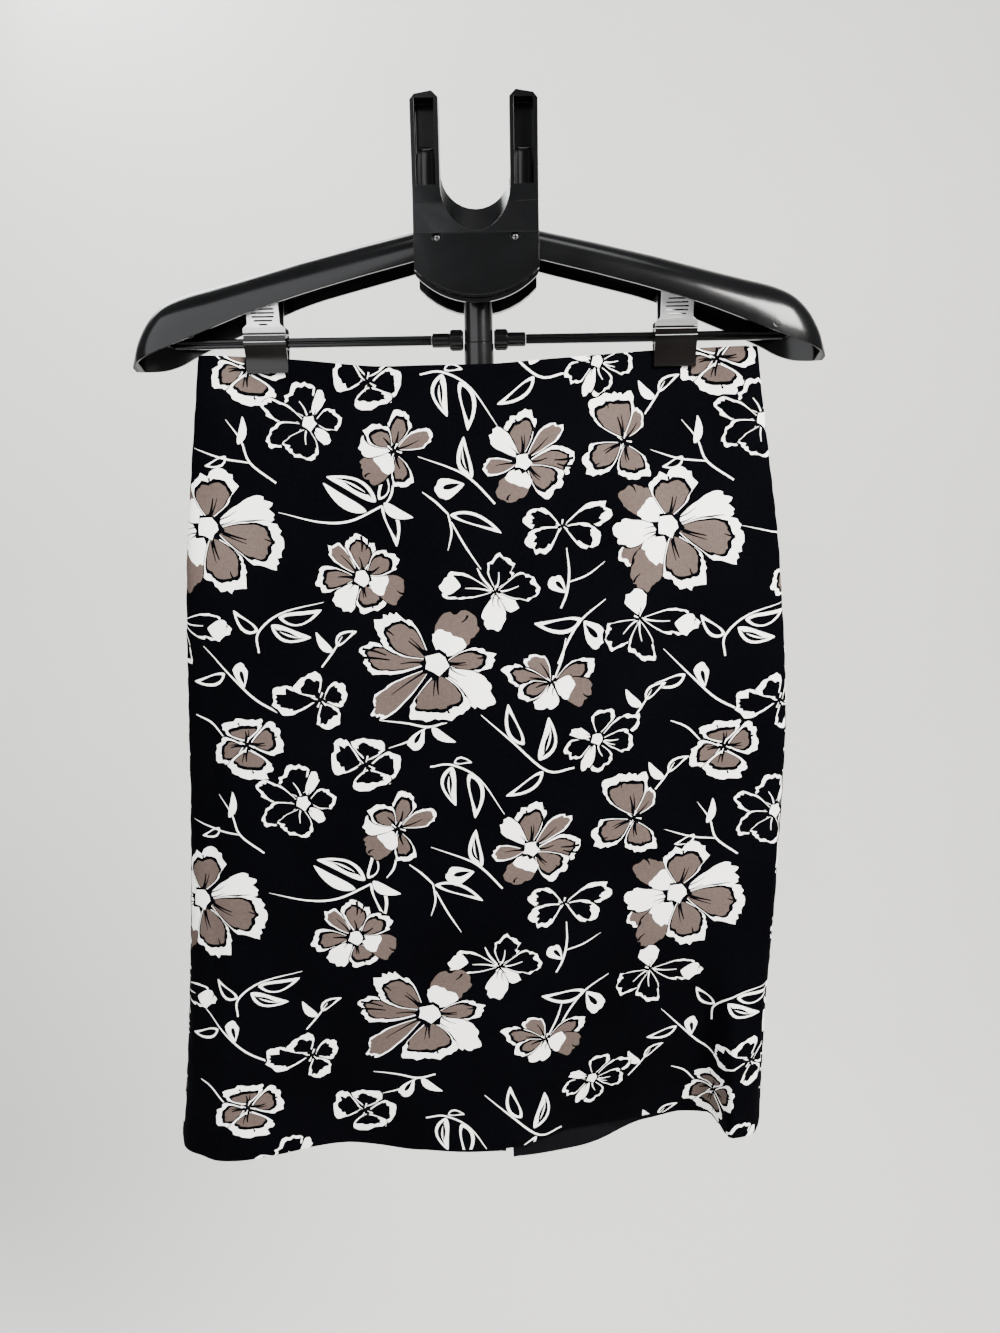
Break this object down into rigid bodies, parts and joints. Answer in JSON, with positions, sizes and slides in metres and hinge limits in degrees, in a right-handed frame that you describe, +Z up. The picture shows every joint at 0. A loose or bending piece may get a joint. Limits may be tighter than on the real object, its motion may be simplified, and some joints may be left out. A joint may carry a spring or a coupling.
{
  "type": "pencil skirt on a clip hanger",
  "caption": "Knee-length pencil skirt in black cotton with a white and taupe flower print, hung flat by its waist from a black clip hanger with a forked head and a stem socket.",
  "frame": {"origin": "on the axis of the hanger's stem, at the open lower end of its socket", "axes": "+Z up, the skirt's front faces -Y, the wearer's left side is at +X"},
  "size_m": [0.4735, 0.0789, 0.7457],
  "materials": {
    "black_plastic": "moulded, semi-gloss black",
    "black_tube": "black painted tube",
    "steel": "bright pressed sheet steel",
    "black_cotton": "matt stretch cotton, plain black inside, printed white and taupe outside"
  },
  "bodies": {
    "root": {"skirt_front": "black_cotton", "skirt_back_left": "black_cotton", "skirt_back_right": "black_cotton", "fork": "black_plastic", "hub_core": "black_plastic", "hub_back": "black_plastic", "stem": "black_tube", "stem_socket": "black_tube", "arm_left": "black_plastic", "arm_right": "black_plastic", "rod_left": "black_plastic", "rod_right": "black_plastic", "connector_left": "black_plastic", "connector_right": "black_plastic", "clip_left_front_plate": "steel", "clip_left_front_jaw": "black_plastic", "clip_left_back_plate": "steel", "clip_left_back_jaw": "black_plastic", "clip_right_front_plate": "steel", "clip_right_front_jaw": "black_plastic", "clip_right_back_plate": "steel", "clip_right_back_jaw": "black_plastic"}
  },
  "joints": []
}
